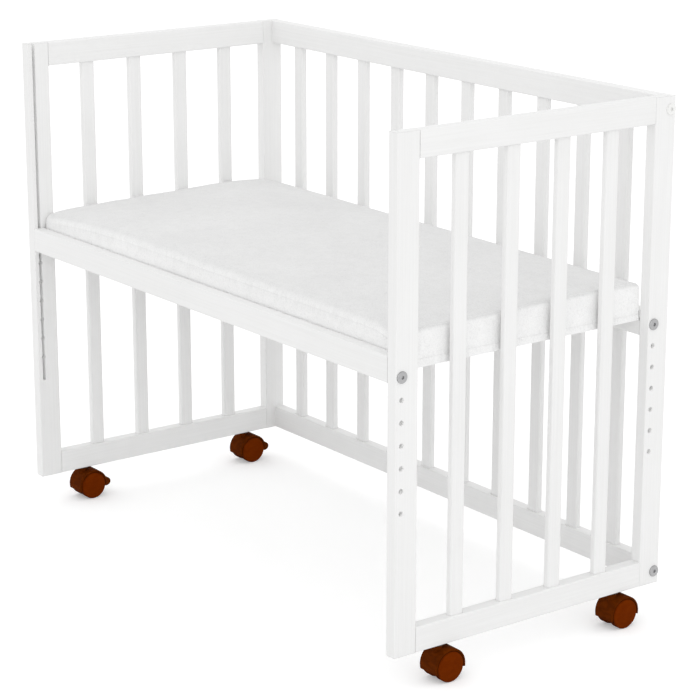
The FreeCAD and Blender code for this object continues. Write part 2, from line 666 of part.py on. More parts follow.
def make_housing(label, braked):
    # Local origin: the swivel axis at floor level; the wheels trail towards +Y.
    body = new_body(label)
    hood_sketch = new_sketch(body, label + "_hood", "YZ_Plane")
    add_sector(hood_sketch, "dims.caster_trail", axle_z, hood_inner, hood_outer,
               "dims.hood_rear_angle", "dims.hood_front_angle")
    hood = pad(body, hood_sketch, "dims.hood_width", True)
    rims = ["Edge%d" % number for number, edge in enumerate(hood.Shape.Edges, start=1)
            if edge.Curve.TypeId == "Part::GeomCircle"
            and abs(edge.Curve.Radius - dim(hood_outer)) < 1e-6]
    round_edges(body, hood, rims, "dims.hood_rounding")

    # The web between the wheels hangs from the hood and carries the axle.
    web_sketch = new_sketch(body, label + "_web", "YZ_Plane")
    half_boss = "dims.web_boss / 2"
    web_outer = "(%s + dims.hood_thickness / 2)" % hood_inner
    arm = dim(web_outer)
    turns = [dim("dims.web_rear_angle"), dim("dims.web_front_angle")]
    boss_arc = add_arc(web_sketch, "dims.caster_trail", axle_z, half_boss, 180, 360)
    crown_arc = add_arc(web_sketch, "dims.caster_trail", axle_z, web_outer, turns[0], turns[1])
    centre = V(dim("dims.caster_trail"), dim(axle_z), 0)
    rear_low = centre + V(dim(half_boss), 0, 0)
    front_low = centre - V(dim(half_boss), 0, 0)
    rear_high, front_high = [
        centre + V(math.cos(math.radians(turn)), math.sin(math.radians(turn)), 0) * arm
        for turn in turns]
    rear_edge = web_sketch.addGeometry(Part.LineSegment(rear_low, rear_high), False)
    front_edge = web_sketch.addGeometry(Part.LineSegment(front_low, front_high), False)
    for first, first_end, second, second_end in (
            (boss_arc, 2, rear_edge, 1), (crown_arc, 1, rear_edge, 2),
            (boss_arc, 1, front_edge, 1), (crown_arc, 2, front_edge, 2)):
        web_sketch.addConstraint(
            Sketcher.Constraint("Coincident", first, first_end, second, second_end))
    name_constraint(web_sketch, "rear_low", axle_z, "DistanceY", -1, 1, rear_edge, 1)
    name_constraint(web_sketch, "front_low", axle_z, "DistanceY", -1, 1, front_edge, 1)
    name_constraint(web_sketch, "rear_high",
                    "%s + %s * sin(dims.web_rear_angle * 1 deg)" % (axle_z, web_outer),
                    "DistanceY", -1, 1, rear_edge, 2)
    name_constraint(web_sketch, "front_high",
                    "%s + %s * sin(dims.web_front_angle * 1 deg)" % (axle_z, web_outer),
                    "DistanceY", -1, 1, front_edge, 2)
    pad(body, web_sketch, "dims.web_width", True)

    # The round neck on top takes the swivel stem.
    neck_sketch = new_sketch(body, label + "_neck", "XY_Plane", stem_foot)
    add_circle(neck_sketch, "0", "0", "dims.web_width")
    pad(body, neck_sketch, "%s - %s" % (swivel_top, stem_foot))
    cut_along_z(body, label + "_stem_hole", "0", "0", stem_foot, "dims.stem_diameter",
                "%s - %s" % (swivel_top, stem_foot))
    cut_along_x(body, label + "_axle_hole", "-dims.hood_width / 2", "dims.caster_trail", axle_z,
                "dims.axle_diameter", "dims.hood_width")
    if braked:
        window = new_sketch(body, label + "_pedal_window", "YZ_Plane")
        window_top = ("dims.pivot_angle + (dims.pedal_barrel / 2 + dims.pedal_gap)"
                      " / dims.pivot_radius * 180 / 3.14159265")
        add_sector(window, "dims.caster_trail", axle_z,
                   "(dims.wheel_diameter / 2 + dims.pedal_shoe_gap / 2)",
                   "(%s + dims.hood_thickness)" % hood_outer,
                   "dims.hood_rear_angle - dims.window_clearance", window_top)
        pocket(body, window, "dims.hood_width - 2 * dims.pedal_cheek", True, True)
        cut_along_x(body, label + "_pivot_hole", "-dims.hood_width / 2", pivot_y, pivot_z,
                    "dims.pivot_pin + 2 * dims.running_clearance", "dims.hood_width")
    return body


pivot_y = "(dims.caster_trail + dims.pivot_radius * cos(dims.pivot_angle * 1 deg))"
pivot_z = "(%s + dims.pivot_radius * sin(dims.pivot_angle * 1 deg))" % axle_z


def make_pins(label):
    # The swivel stem and the wheel axle.
    stem = make_cylinder(label + "_stem", "dims.stem_diameter",
                         "dims.caster_height + dims.stem_reach - %s" % stem_foot, stem_foot)
    axle = make_cylinder(label + "_axle", "dims.axle_diameter",
                         "2 * (%s - dims.axle_end_gap)" % axle_reach)
    place(axle, "-(%s - dims.axle_end_gap)" % axle_reach, "dims.caster_trail", axle_z,
          FreeCAD.Rotation(V(0, 1, 0), 90))
    return make_group(label, [stem, axle])


def make_wheel(label):
    # Cup-shaped wheel turned about X: open on its inner face at x = 0, closed outside.
    body = new_body(label)
    bore = "(dims.axle_diameter / 2 + dims.running_clearance)"
    outer_x = "dims.wheel_width"
    wall_x = "(dims.wheel_width - dims.wheel_wall)"
    radius = "(dims.wheel_diameter / 2)"
    profile = new_sketch(body, label + "_profile", "XY_Plane")
    add_polygon(profile, [
        ("0", bore), (wall_x, bore), (wall_x, "0"), (outer_x, "0"),
        ("%s - dims.wheel_dome / 3" % outer_x, "%s * 0.55" % radius),
        ("%s - dims.wheel_dome" % outer_x, "%s - dims.tread_bevel" % radius),
        ("%s - dims.wheel_dome - dims.tread_bevel" % outer_x, radius),
        ("dims.tread_bevel / 2", radius), ("0", "%s - dims.tread_bevel / 2" % radius),
        ("0", "%s - dims.wheel_rim" % radius), (wall_x, "%s - dims.wheel_rim" % radius),
        (wall_x, "dims.hub_diameter / 2"), ("0", "dims.hub_diameter / 2")])
    turned = body.newObject("PartDesign::Revolution", label + "_turned")
    turned.Profile = profile
    turned.ReferenceAxis = (profile, ["H_Axis"])
    turned.Angle = 360
    doc.recompute()
    return body


def add_foot_plate(sketch, root):
    # A level underside, a round nose and a sloping top, closed by an arc about the axle.
    nose_y = "(dims.caster_trail + dims.plate_reach - dims.plate_nose)"
    nose_z = "(%s - dims.plate_drop + dims.plate_nose)" % axle_z
    top_z = "%s + %s * sin(dims.pivot_angle * 1 deg)" % (axle_z, root)
    low_turn = -math.degrees(math.asin(dim("dims.plate_drop / %s" % root)))
    root_arc = add_arc(sketch, "dims.caster_trail", axle_z, root, low_turn,
                       dim("dims.pivot_angle"))
    nose_arc = add_arc(sketch, nose_y, nose_z, "dims.plate_nose", -90, 60)
    root_low, root_high = [sketch.getPoint(root_arc, end) for end in (1, 2)]
    nose_low, nose_high = [sketch.getPoint(nose_arc, end) for end in (1, 2)]
    underside = sketch.addGeometry(Part.LineSegment(root_low, nose_low), False)
    slope = sketch.addGeometry(Part.LineSegment(root_high, nose_high), False)
    for line, root_end, nose_end in ((underside, 1, 1), (slope, 2, 2)):
        sketch.addConstraint(Sketcher.Constraint("Coincident", root_arc, root_end, line, 1))
        sketch.addConstraint(Sketcher.Constraint("Tangent", nose_arc, nose_end, line, 2))
    sketch.addConstraint(Sketcher.Constraint("Horizontal", underside))
    name_constraint(sketch, "top", top_z, "DistanceY", -1, 1, root_arc, 2)


def make_pedal(label):
    # Brake pedal: a curved shoe that hangs from its pivot behind the wheels, with a foot plate.
    body = new_body(label)
    width = "(dims.hood_width - 2 * dims.pedal_cheek - 2 * dims.pedal_gap)"
    shoe_inner = "(dims.wheel_diameter / 2 + dims.pedal_shoe_gap)"
    shoe_sketch = new_sketch(body, label + "_shoe", "YZ_Plane")
    add_sector(shoe_sketch, "dims.caster_trail", axle_z, shoe_inner,
               "(%s + dims.pedal_skin)" % shoe_inner, "dims.pedal_foot_angle",
               "dims.pivot_angle")
    pad(body, shoe_sketch, width, True)
    barrel_sketch = new_sketch(body, label + "_barrel", "YZ_Plane")
    add_circle(barrel_sketch, pivot_y, pivot_z, "dims.pedal_barrel")
    pad(body, barrel_sketch, width, True)
    pin_sketch = new_sketch(body, label + "_pivot", "YZ_Plane")
    add_circle(pin_sketch, pivot_y, pivot_z, "dims.pivot_pin")
    pad(body, pin_sketch, "dims.hood_width - 2 * dims.pedal_gap", True)
    # The foot plate is measured from the axle; it starts inside the shoe and ends in a round nose.
    plate_sketch = new_sketch(body, label + "_plate", "YZ_Plane")
    add_foot_plate(plate_sketch, "(%s + dims.pedal_skin / 2)" % shoe_inner)
    plate = pad(body, plate_sketch, width, True)
    rims = ["Edge%d" % number for number, edge in enumerate(plate.Shape.Edges, start=1)
            if edge.Curve.TypeId == "Part::GeomCircle"
            and abs(edge.Curve.Radius - dim("dims.plate_nose")) < 1e-6]
    round_edges(body, plate, rims, "dims.plate_rounding")
    return body


def make_socket(name, end, y):
    # Flanged sleeve pressed into the bottom rail; the stem turns in it.
    sleeve = make_cylinder(name + "_sleeve", "dims.socket_diameter", "dims.socket_length")
    flange = make_cylinder(name + "_flange", "dims.flange_diameter", "dims.flange_thickness",
                           "-dims.flange_thickness")
    whole = doc.addObject("Part::Fuse", name + "_whole")
    whole.Base = sleeve
    whole.Tool = flange
    bore = make_cylinder(name + "_bore", "dims.stem_diameter + 2 * dims.running_clearance",
                         "dims.stem_reach + dims.stem_end_gap + dims.flange_thickness",
                         "-dims.flange_thickness")
    socket = make_cut(name, whole, bore)
    place(socket, "%d * (%s - dims.post_thickness / 2)" % (end, half_length), y, foot_z)
    return socket


CORNERS = []
for row, sign in (("front", -1), ("rear", 1)):
    for end, end_name in ENDS:
        CORNERS.append((
            "%s_%s" % (row, end_name), end, "%d * (%s - dims.caster_inset)" % (sign, half_depth)))

nodes.append(make_group("caster_sockets", [
    make_socket("socket_" + corner, end, y) for corner, end, y in CORNERS]))

for corner, end, y in CORNERS:
    stem_x = "%d * (%s - dims.post_thickness / 2)" % (end, half_length)
    braked = end < 0
    housing = make_housing("%s_caster_housing" % corner, braked)
    place(housing, stem_x, y)
    pins = make_pins("%s_caster_pins" % corner)
    place(pins, stem_x, y)
    nodes += [housing, pins]
    wheel_inset = "(dims.web_width / 2 + dims.wheel_gap)"
    for side, side_name in ((-1, "left"), (1, "right")):
        wheel = make_wheel("%s_caster_%s_wheel" % (corner, side_name))
        turn = FreeCAD.Rotation(V(0, 0, 1), 180 if side < 0 else 0)
        place(wheel, "%s + %d * %s" % (stem_x, side, wheel_inset), "%s + dims.caster_trail" % y,
              axle_z, turn)
        nodes.append(wheel)
    if braked:
        pedal = make_pedal("%s_caster_brake_pedal" % corner)
        place(pedal, stem_x, y)
        nodes.append(pedal)


# ---------------------------------------------------------------- check and write

doc.recompute()
for item in doc.Objects:
    if "Invalid" in item.State or "Error" in item.State:
        raise RuntimeError("%s is %s" % (item.Name, item.State))
for node in nodes:
    if node.Shape.isNull() or not node.Shape.isValid() or not node.Shape.Solids:
        raise RuntimeError(node.Label + " has no valid solid")

os.makedirs("parts", exist_ok=True)
for node in nodes:
    node.Shape.exportStep("parts/%s.step" % node.Label)
print("%d nodes, %d solids" % (len(nodes), sum(len(node.Shape.Solids) for node in nodes)))
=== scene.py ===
import math

import bmesh
import bpy
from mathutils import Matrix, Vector, noise
from mathutils.bvhtree import BVHTree
from mathutils.kdtree import KDTree


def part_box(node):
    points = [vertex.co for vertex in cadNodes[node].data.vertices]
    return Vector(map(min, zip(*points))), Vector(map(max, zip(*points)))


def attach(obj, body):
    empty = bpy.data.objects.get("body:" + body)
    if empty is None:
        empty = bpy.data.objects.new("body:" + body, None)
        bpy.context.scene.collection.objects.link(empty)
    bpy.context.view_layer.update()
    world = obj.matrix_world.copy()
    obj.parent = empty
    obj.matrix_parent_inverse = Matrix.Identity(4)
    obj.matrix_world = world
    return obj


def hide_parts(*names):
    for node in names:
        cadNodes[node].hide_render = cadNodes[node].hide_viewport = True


# Bedside sleeper crib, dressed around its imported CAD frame.
# Metres; +X along the crib, -Y its open front, +Z up, floor at z = 0.

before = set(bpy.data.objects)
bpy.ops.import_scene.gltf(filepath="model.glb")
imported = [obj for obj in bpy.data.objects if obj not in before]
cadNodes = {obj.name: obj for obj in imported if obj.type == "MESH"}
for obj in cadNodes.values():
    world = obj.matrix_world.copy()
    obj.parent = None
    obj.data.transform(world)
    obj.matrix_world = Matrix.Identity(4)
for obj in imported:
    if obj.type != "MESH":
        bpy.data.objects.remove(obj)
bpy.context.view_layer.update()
print("frame loaded:", len(cadNodes), "nodes")


def grey(level):
    return (level,) * 3


class Shading:
    # One material's node tree, with short ways to add and join nodes.

    def __init__(self, name):
        self.material = bpy.data.materials.new(name)
        self.material.use_nodes = True
        self.tree = self.material.node_tree
        self.shader = self.tree.nodes["Principled BSDF"]
        self.output = self.tree.nodes["Material Output"]
        self.where = self.add("TexCoord").outputs["Object"]

    def feed(self, socket, value):
        if isinstance(value, bpy.types.NodeSocket):
            self.tree.links.new(value, socket)
        elif isinstance(value, tuple) and socket.type == "RGBA" and len(value) == 3:
            socket.default_value = (*value, 1)
        else:
            socket.default_value = value

    def add(self, kind, **inputs):
        node = self.tree.nodes.new("ShaderNode" + kind)
        for key, value in inputs.items():
            self.feed(node.inputs[key.replace("_", " ")], value)
        return node

    def math(self, operation, first, second):
        node = self.add("Math")
        node.operation = operation
        self.feed(node.inputs[0], first)
        self.feed(node.inputs[1], second)
        return node.outputs[0]

    def vector(self, operation, first, second):
        node = self.add("VectorMath")
        node.operation = operation
        self.feed(node.inputs[0], first)
        self.feed(node.inputs[1], second)
        return node.outputs["Value" if operation == "DOT_PRODUCT" else "Vector"]

    def scaled(self, scale):
        # Points fixed to the piece, stretched along its axes.
        return self.vector("MULTIPLY", self.where, scale)

    def noise(self, where, scale=1.0, detail=4.0, roughness=0.55, distortion=0.0):
        return self.add("TexNoise", Vector=where, Scale=scale, Detail=detail,
                        Roughness=roughness, Distortion=distortion).outputs[0]

    def ramp(self, value, low, high, first=grey(0), last=grey(1)):
        # first below low, last above high, blended between.
        node = self.add("ValToRGB", Fac=value)
        for element, position, colour in zip(node.color_ramp.elements, (low, high), (first, last)):
            element.position = position
            element.color = (*colour, 1)
        return node.outputs[0]

    def between(self, value, low, high):
        node = self.add("MapRange", Value=value)
        node.inputs["To Min"].default_value = low
        node.inputs["To Max"].default_value = high
        return node.outputs[0]

    def blend(self, amount, first, second, mode="MIX"):
        node = self.add("Mix")
        node.data_type = "RGBA"
        node.blend_type = mode
        for index, value in ((0, amount), (6, first), (7, second)):
            self.feed(node.inputs[index], value)
        return node.outputs[2]

    def tinted(self, colour, tint):
        return self.blend(1.0, colour, tint, "MULTIPLY")

    def bump(self, height, depth, strength, normal=None):
        node = self.add("Bump", Height=height, Distance=depth, Strength=strength)
        if normal is not None:
            self.feed(node.inputs["Normal"], normal)
        return node.outputs[0]

    def relief(self, layers, normal=None):
        # Bumps laid over each other, each with its height, depth in metres and strength.
        for height, depth, strength in layers:
            normal = self.bump(height, depth, strength, normal)
        return normal

    def rounded(self, radius):
        return self.add("Bevel", Radius=radius).outputs[0]

    def edges(self, soft):
        # 1 on sharp edges, where the rounded normal leaves the flat one.
        flat = self.add("NewGeometry").outputs["Normal"]
        return self.ramp(self.vector("DOT_PRODUCT", soft, flat), 0.86, 0.995, grey(1), grey(0))

    def finish(self, **values):
        # Sets or joins sockets of the surface shader.
        for key, value in values.items():
            self.feed(self.shader.inputs[key.replace("_", " ")], value)
        return self.material


# White satin paint over wood: the grain shows through faintly along each board.
paint = {
    "colour": (0.860, 0.860, 0.857),
    "grainShade": (0.834, 0.833, 0.829),
    "cloudShade": (0.975, 0.975, 0.973),
    "edgeShade": (0.775, 0.771, 0.755),    # the paint thins on sharp edges
    "roughness": (0.38, 0.52),
    "gloss": 0.35,
    "grainAcross": 420.0,                  # streaks per metre across the board
    "grainAlong": 6.0,
    "poreScale": 3.2,                      # pores are this many times finer than the streaks
    "cloudSize": 9.0,                      # clouds and bumps of the roller's texture per metre
    "peelSize": 620.0,
    "grainRelief": (0.00030, 0.50),        # depth and strength
    "poreRelief": (0.00010, 0.35),
    "peelRelief": (0.00010, 0.45),
    "edgeRadius": 0.0010,
    "boardShift": (3.1, 7.7, 5.3),         # each board shows wood from up to this far off
    "holePaintedLight": (0.965, 0.965, 0.960),       # painted light: a lighter colour inside the drilled holes, lifting their shade
    "holeRows": (-0.2265, 0.2095),         # their columns' places along Y
    "holeTop": 0.4335,
    "holeLow": 0.2505,
    "holePitch": 0.0305,
    "holeRadius": 0.0036,
    "holeMargin": 0.004,
    "groovePaintedLight": (0.905, 0.905, 0.902),  # painted light: a lighter colour in the barrier grooves of the front posts, lifting their shade
    "grooveSides": 0.0024,
    "grooveFloor": 0.4604,                 # between these distances from the crib's middle
    "grooveMouth": 0.4522,
}


def allHold(shading, tests):
    # 1 where every (LESS_THAN or GREATER_THAN, value, limit) holds.
    answers = [shading.math(*test) for test in tests]
    while len(answers) > 1:
        answers.append(shading.math("MULTIPLY", answers.pop(), answers.pop()))
    return answers[0]


def lightenHollows(shading, colour):
    # Painted light: a lighter colour in the barrier grooves and in the height holes of the posts,
    # lifting the shade there.
    place = shading.add("SeparateXYZ", Vector=shading.add("TexCoord").outputs["Object"]).outputs
    outward = shading.math("ABSOLUTE", place[0], 0.0)
    rows = [shading.math("ABSOLUTE", shading.math("SUBTRACT", place[1], row), 0.0)
            for row in paint["holeRows"]]
    groove = allHold(shading, (("LESS_THAN", rows[0], paint["grooveSides"]),
                               ("LESS_THAN", outward, paint["grooveFloor"]),
                               ("GREATER_THAN", outward, paint["grooveMouth"])))
    colour = shading.blend(groove, colour, paint["groovePaintedLight"])

    across = shading.math("MINIMUM", *rows)
    below = shading.math("SUBTRACT", paint["holeTop"] + paint["holePitch"] / 2, place[2])
    along = shading.math("SUBTRACT", shading.math("MODULO", below, paint["holePitch"]),
                         paint["holePitch"] / 2)
    total = shading.math("ADD", shading.math("MULTIPLY", across, across),
                         shading.math("MULTIPLY", along, along))
    top, low = paint["holeTop"] + paint["holeMargin"], paint["holeLow"] - paint["holeMargin"]
    hole = allHold(shading, (("LESS_THAN", total, paint["holeRadius"] ** 2),
                             ("LESS_THAN", place[2], top),
                             ("GREATER_THAN", place[2], low),
                             ("GREATER_THAN", outward, paint["grooveFloor"])))
    return shading.blend(hole, colour, paint["holePaintedLight"])


def makePaint(axis):
    shading = Shading("whitePaint" + axis)
    shift = shading.add("ObjectInfo").outputs["Random"]
    offset = shading.vector("MULTIPLY", shift, paint["boardShift"])
    shading.where = shading.vector("ADD", shading.where, offset)
    scale = [paint["grainAcross"]] * 3
    scale["XYZ".index(axis)] = paint["grainAlong"]
    fine = tuple(paint["poreScale"] * part for part in scale)
    streaks = shading.noise(shading.scaled(tuple(scale)), 1.0, 6.0, 0.62, 0.25)
    pores = shading.noise(shading.scaled(fine), 1.0, 3.0, 0.7)
    cloud = shading.noise(shading.where, paint["cloudSize"], 3.0, 0.5)
    peel = shading.noise(shading.where, paint["peelSize"], 2.0, 0.5)
    grain = shading.ramp(streaks, 0.36, 0.62)
    colour = shading.blend(grain, paint["grainShade"], paint["colour"])
    colour = shading.tinted(colour, shading.ramp(cloud, 0.3, 0.7, paint["cloudShade"]))
    soft = shading.rounded(paint["edgeRadius"])
    worn = shading.math("MULTIPLY", shading.edges(soft), shading.between(pores, 0.1, 0.8))
    colour = shading.blend(worn, colour, paint["edgeShade"])
    if axis == "Z":
        colour = lightenHollows(shading, colour)
    layers = ((streaks, *paint["grainRelief"]), (pores, *paint["poreRelief"]),
              (peel, *paint["peelRelief"]))
    return shading.finish(Base_Color=colour, Specular_IOR_Level=paint["gloss"],
                          Roughness=shading.between(cloud, *paint["roughness"]),
                          Normal=shading.relief(layers, soft))


# Zinc-plated steel of the bolts, nuts and pins.
zinc = {
    "colour": (0.49, 0.49, 0.495),
    "tarnish": (0.31, 0.31, 0.315),
    "roughness": (0.26, 0.46),
    "blotchSize": 260.0,                   # blotches and tool marks per metre
    "markSize": 2400.0,
    "markRelief": (0.00003, 0.60),
    "edgeRadius": 0.0003,
}


def makeZinc():
    shading = Shading("zincSteel")
    blotch = shading.noise(shading.where, zinc["blotchSize"], 4.0, 0.6)
    marks = shading.noise(shading.where, zinc["markSize"], 3.0, 0.6)
    colour = shading.blend(shading.between(blotch, 0.0, 0.8), zinc["colour"], zinc["tarnish"])
    soft = shading.rounded(zinc["edgeRadius"])
    return shading.finish(Base_Color=colour, Metallic=1.0,
                          Roughness=shading.between(marks, *zinc["roughness"]),
                          Normal=shading.bump(marks, *zinc["markRelief"], soft))


# White stove enamel of the two upper bolt heads.
enamel = {
    "colour": (0.86, 0.86, 0.85),
    "cloudShade": (0.96, 0.96, 0.955),
    # painted shade on the heads' sharp edges
    "edgeShade": (0.62, 0.62, 0.61),
    "roughness": (0.24, 0.36),
    "cloudSize": 90.0,                     # clouds and bumps per metre
    "peelSize": 900.0,
    "peelRelief": (0.00005, 0.50),
    "edgeRadius": 0.0005,
}


def makeEnamel():
    shading = Shading("whiteEnamel")
    cloud = shading.noise(shading.where, enamel["cloudSize"], 3.0, 0.5)
    peel = shading.noise(shading.where, enamel["peelSize"], 2.0, 0.5)
    soft = shading.rounded(enamel["edgeRadius"])
    tint = shading.ramp(cloud, 0.3, 0.7, enamel["cloudShade"])
    colour = shading.tinted(enamel["colour"], tint)
    # Painted shade: a dark outline on the heads' sharp edges.
    colour = shading.blend(shading.edges(soft), colour, enamel["edgeShade"])
    return shading.finish(Base_Color=colour,
                          Roughness=shading.between(cloud, *enamel["roughness"]),
                          Normal=shading.bump(peel, *enamel["peelRelief"], soft))


# Moulded plastics: a hint of flow streaks and a fine spark-eroded texture.
plastics = {
    # treadPaintedShade: painted shade on a wheel's running surface, 1 for none
    "brownHousing": {"colour": (0.074, 0.0125, 0.0002), "light": (0.106, 0.0185, 0.0003),
                     "treadPaintedShade": 1.0, "roughness": (0.60, 0.75), "gloss": 0.015},
    "brownWheel": {"colour": (0.125, 0.0175, 0.0002), "light": (0.145, 0.0215, 0.0003),
                   "treadPaintedShade": 0.45, "roughness": (0.60, 0.75), "gloss": 0.01},
    "socketPlastic": {"colour": (0.035, 0.018, 0.012), "light": (0.05, 0.027, 0.018),
                      "treadPaintedShade": 1.0, "roughness": (0.40, 0.55), "gloss": 0.3},
}
moulding = {
    "flow": (70, 70, 160),                 # streaks per metre along X, Y and Z
    "sparkSize": 1500.0,                   # pits per metre
    "sparkRelief": (0.00006, 0.50),
    "edgeRadius": 0.0005,
}


def makePlastic(name):
    finish = plastics[name]
    shading = Shading(name)
    flow = shading.noise(shading.scaled(moulding["flow"]), 1.0, 3.0, 0.5, 0.8)
    pits = shading.noise(shading.where, moulding["sparkSize"], 2.0, 0.5)
    colour = shading.blend(shading.ramp(flow, 0.35, 0.7), finish["colour"], finish["light"])
    if finish["treadPaintedShade"] < 1:
        # Painted shade: the running surface is darker than the discs, which face along X.
        facing = shading.add("SeparateXYZ", Vector=shading.add("TexCoord").outputs["Normal"])
        sideways = shading.math("ABSOLUTE", facing.outputs[0], 0.0)
        colour = shading.tinted(colour, shading.ramp(sideways, 0.35, 0.80, grey(finish["treadPaintedShade"])))
    soft = shading.rounded(moulding["edgeRadius"])
    return shading.finish(Base_Color=colour, Specular_IOR_Level=finish["gloss"],
                          Roughness=shading.between(flow, *finish["roughness"]),
                          Normal=shading.bump(pits, *moulding["sparkRelief"], soft))


# Bare beech dowels.
beech = {
    "light": (0.62, 0.42, 0.24),
    "dark": (0.40, 0.24, 0.12),
    "roughness": (0.55, 0.75),
    "rays": (500, 18, 500),                # per metre along X, Y and Z
    "rayRelief": (0.0002, 0.60),
}


def makeBeech():
    shading = Shading("bareBeech")
    rays = shading.noise(shading.scaled(beech["rays"]), 1.0, 5.0, 0.6, 0.4)
    return shading.finish(Base_Color=shading.blend(rays, beech["dark"], beech["light"]),
                          Roughness=shading.between(rays, *beech["roughness"]),
                          Normal=shading.bump(rays, *beech["rayRelief"]))


paints = {axis: makePaint(axis) for axis in "XYZ"}
finishes = {name: makePlastic(name) for name in plastics}
finishes.update(zincSteel=makeZinc(), whiteEnamel=makeEnamel(), bareBeech=makeBeech())

# The first of these words that a node's name holds decides its finish.
finishWords = (
    ("back_top_bolts", "whiteEnamel"), ("bolts", "zincSteel"), ("nuts", "zincSteel"),
    ("pins", "zincSteel"), ("dowels", "bareBeech"), ("sockets", "socketPlastic"),
    ("wheel", "brownWheel"), ("caster", "brownHousing"),
)


def finishOf(name):
    # Anything else is a painted board, whose grain follows its longest side.
    for word, finish in finishWords:
        if word in name:
            return finishes[finish]
    low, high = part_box(name)
    size = high - low
    return paints["XYZ"[max(range(3), key=lambda axis: size[axis])]]


for nodeName, piece in cadNodes.items():
    nodeFinish = finishOf(nodeName)
    if not piece.material_slots:
        piece.data.materials.append(nodeFinish)
    for materialSlot in piece.material_slots:
        materialSlot.material = nodeFinish
print("CAD pieces finished")


# Mattress: a firm foam block in a soft white terry cover, seamed round its top and bottom edges.
mattress = {
    "spacing": 0.008,                      # mesh grid before the last subdivision
    "sideEdges": (0.005, 0.007, 0.007),    # rounding of the ends and the back, along X, Y and Z
    "frontEdge": (0.005, 0.016, 0.014),
    "slackCorner": (0.014, 0.018, 0.030),  # front left, where the cover is slack
    "edgeReach": 0.050,                    # one rounding passes into the next over this length
    "squareness": 5.0,                     # of the upright corners; 2 makes them elliptical
    "lowerHeight": 0.0012,                 # height of the rounding at the bottom
    "edgeSteps": (0.0, 0.11, 0.23, 0.42, 0.68, 1.0),    # grid lines within a rounding
    "inset": 0.002,                        # the cover swells again in the simulation
    "lift": 0.0003,                        # so its underside starts this far up
    "clothQuality": 5,
    "clothMass": 0.25,
    "stretchStiffness": 15,
    "bendStiffness": 0.8,
    "pressure": 4.0,
    "frames": 18,
    "cap": 0.003,                          # a point moves at most this far
    "swell": 0.0006,                       # corners reach this far past the foam block
    "pullIn": 0.0014,                      # sides draw in between the corners
    "flatHeight": 0.016,                   # the front lies flat against its rail up to here
    "freeHeight": 0.036,                   # and is free of it from here
    "crown": 0.0014,
    "cornerDroop": 0.002,
    "droopReach": 0.030,
    "leftSlack": 0.011,                    # the top sinks towards the front left corner
    "slackReach": 0.120,
    "backDroop": 0.0048,                   # and along its back edge
    "backReach": 0.060,
    "rightDroop": (0.0085, 0.0035),        # and towards the right end, at its front and back
    "rightReach": 0.038,
    "waves": (7, 7, 3.7),                  # bumps per metre along X and Y, layer of the noise
    "waveHeight": 0.0008,
    "ripples": (41, 41, 9.1),
    "rippleHeight": 0.0003,
    "creases": (55, 14, 5.2),
    "creaseSharpness": 3,
    "foldDepth": 0.0010,                   # wrinkles along the ends of the top
    "foldReach": 0.018,
    "foldPeak": 0.8,                       # deepest at this share of their reach
    "sink": 0.0002,                        # the underside bulges down at most this far
    "hem": (0.0074, 0.0045),               # the cover hangs this far over the board's ends
    "hemHeight": 0.014,
    "hemPull": 1.5,                        # how soon it is drawn out to the mattress's end
    "hemTuck": 0.0003,
    "cornerCut": 0.004,                    # the seams cut the upright corners
    "seamDrop": 0.0018,                    # upper seam below the top, at the ends and the back
    "frontSeamDrop": 0.015,
    "lowerSeam": 0.005,
    "seamInset": 0.012,                    # the top's height is read this far in from its edge
    "rayReach": 0.030,                     # rays towards the cover start this far outside it
    "pinch": 0.0006,                       # the sewing draws the cover in
    "pinchReach": 0.006,
    "frontLoose": 0.85,                    # share of the pinch that is missing at the front
    "seamRadius": 0.0005,
    "seamSides": 6,
    "stitchPitch": 0.004,
    "stitchShare": 0.72,                   # thickness of the ridge at a stitch
    "puckerReach": 0.010,                  # folds run this far from a seam
}


def clamp(value, low, high):
    return max(low, min(high, value))


def fade(share):
    # 1 at zero or below, easing to 0 at one.
    rest = 1 - clamp(share, 0, 1)
    return rest * rest * (3 - 2 * rest)


def gridLines(low, high, radii):
    # Even steps along a side, with closer ones within the rounding at both ends.
    near = [step * radii[0] for step in mattress["edgeSteps"]]
    span = high - low - sum(radii)
    count = max(1, round(span / mattress["spacing"]))
    middle = [radii[0] + span * step / count for step in range(1, count)]
    far = [high - low - step * radii[1] for step in reversed(mattress["edgeSteps"])]
    return [low + step for step in near + middle + far]


def edgeSize(point, low, high):
    # The rounding differs from side to side; also returns how slack the corner is there.
    front = fade((point.y - low.y) / mattress["edgeReach"])
    slack = front * fade((point.x - low.x) / mattress["edgeReach"])
    size = Vector(mattress["sideEdges"]).lerp(Vector(mattress["frontEdge"]), front)
    size = size.lerp(Vector(mattress["slackCorner"]), slack)
    if point.z - low.z < (high.z - low.z) / 2:
        size.z = mattress["lowerHeight"]
    return size, slack


def linkMesh(name, mesh):
    data = bpy.data.meshes.new(name)
    mesh.to_mesh(data)
    mesh.free()
    data.polygons.foreach_set("use_smooth", [True] * len(data.polygons))
    item = bpy.data.objects.new(name, data)
    bpy.context.scene.collection.objects.link(item)
    return item


